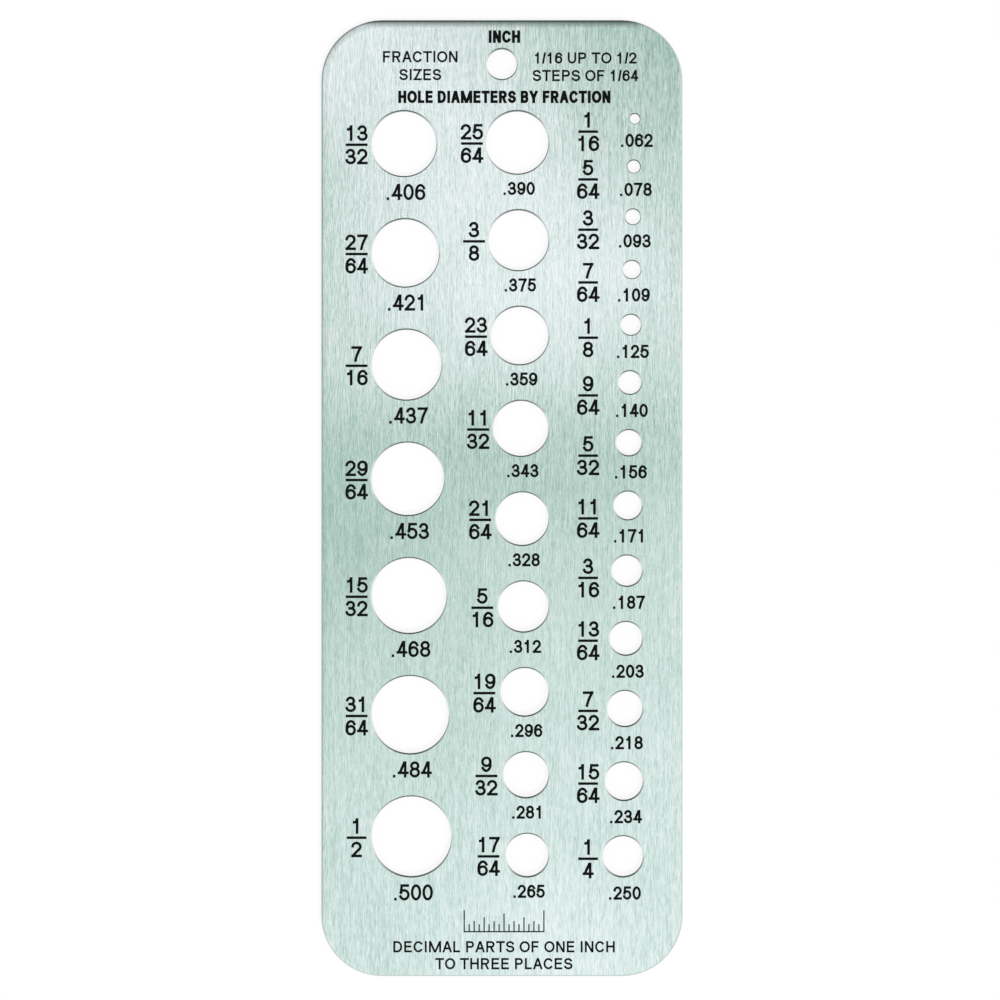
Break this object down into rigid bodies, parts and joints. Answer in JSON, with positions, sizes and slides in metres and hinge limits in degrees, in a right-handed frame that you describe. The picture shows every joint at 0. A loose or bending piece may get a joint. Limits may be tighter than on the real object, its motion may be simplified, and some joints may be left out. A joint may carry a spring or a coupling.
{
  "type": "drill size gauge",
  "caption": "Flat steel plate with rounded corners and columns of graded round holes for sizing twist drills, with a hole to hang it by.",
  "frame": {"origin": "centre of the plate's back face, which lies on the surface", "axes": "+Z out of the marked face, +Y along the plate towards the hanging hole, +X across it"},
  "size_m": [0.0576, 0.1524, 0.0012],
  "materials": {
    "brushed_plate": "satin, brushed along the length",
    "marking_ink": "matt black ink"
  },
  "bodies": {
    "root": {"gauge_plate": "brushed_plate"}
  },
  "joints": []
}
